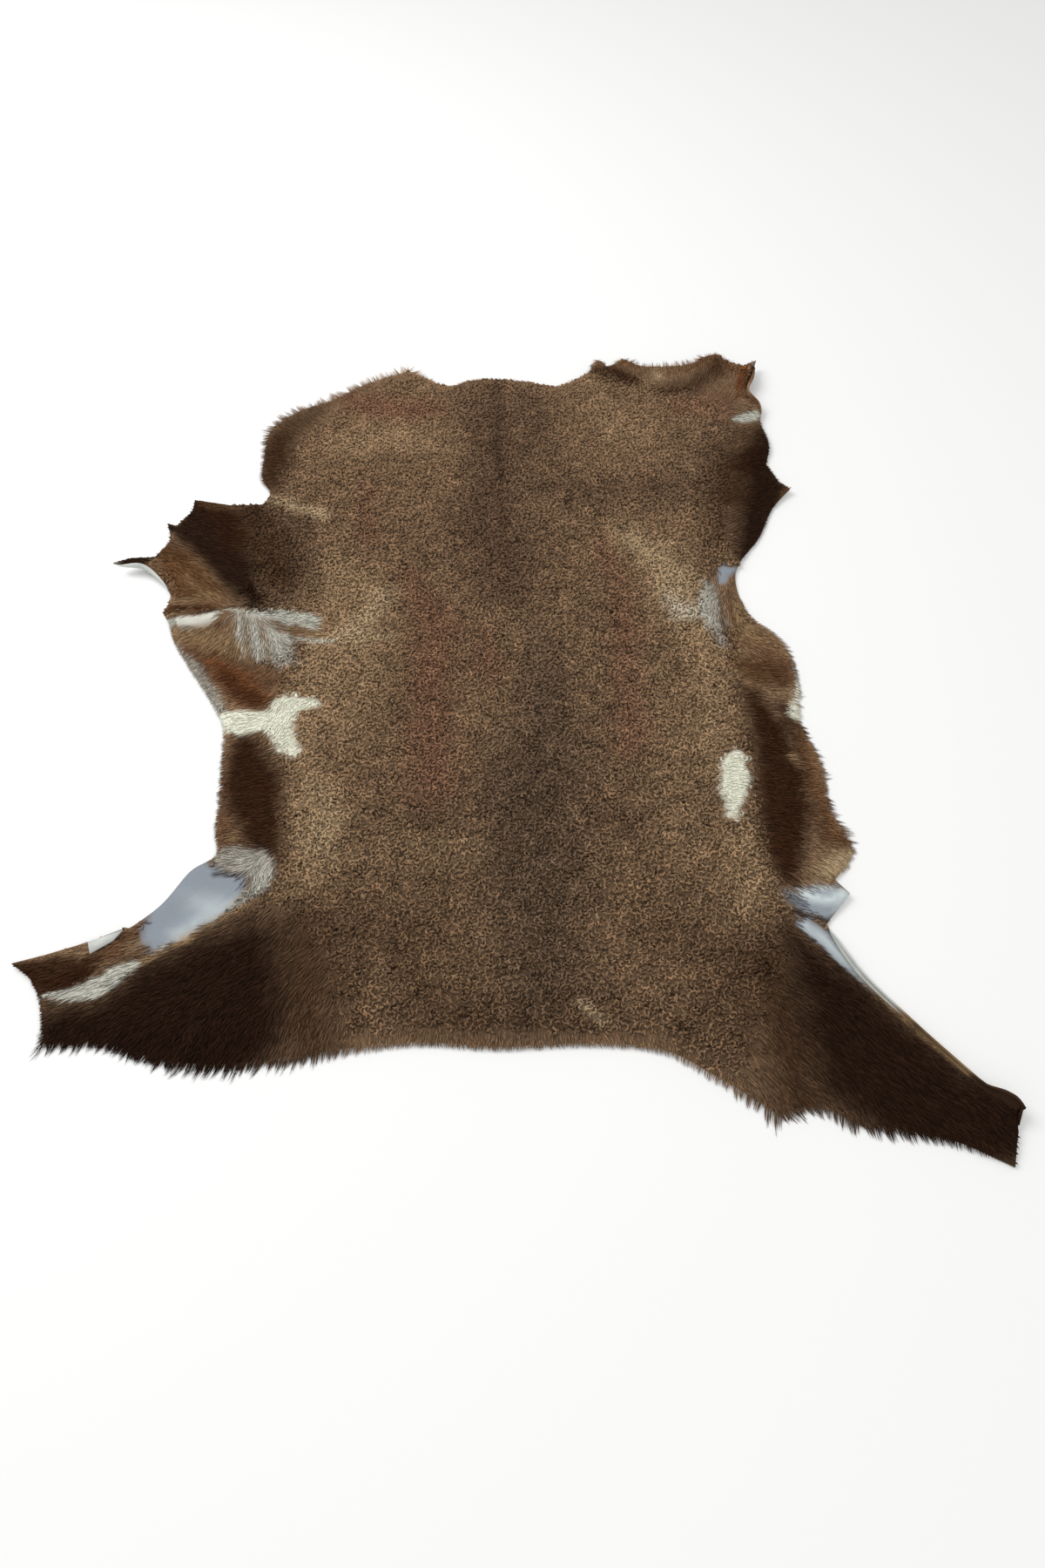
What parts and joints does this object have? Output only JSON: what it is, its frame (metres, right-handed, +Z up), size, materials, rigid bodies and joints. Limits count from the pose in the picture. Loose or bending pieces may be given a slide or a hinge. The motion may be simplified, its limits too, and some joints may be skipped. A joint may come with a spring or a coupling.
{
  "type": "sheepskin rug",
  "caption": "Whole tanned sheepskin laid flat as a rug: short curled wool on the back, straight hair on legs and flanks, a hair fringe round the rim.",
  "frame": {"origin": "centre of the rug's box, on the floor under it", "axes": "+Z up out of the fleece, +Y from the tail towards the neck, +X to the right of the spine seen from above"},
  "size_m": [0.931, 1.1718, 0.025],
  "materials": {
    "fleece": "matt curled wool, mottled brown",
    "hair": "soft straight hair, dark brown to cream",
    "skin": "matt suede flesh side, off-white"
  },
  "bodies": {
    "root": {"sheepskin": "fleece"}
  },
  "joints": []
}
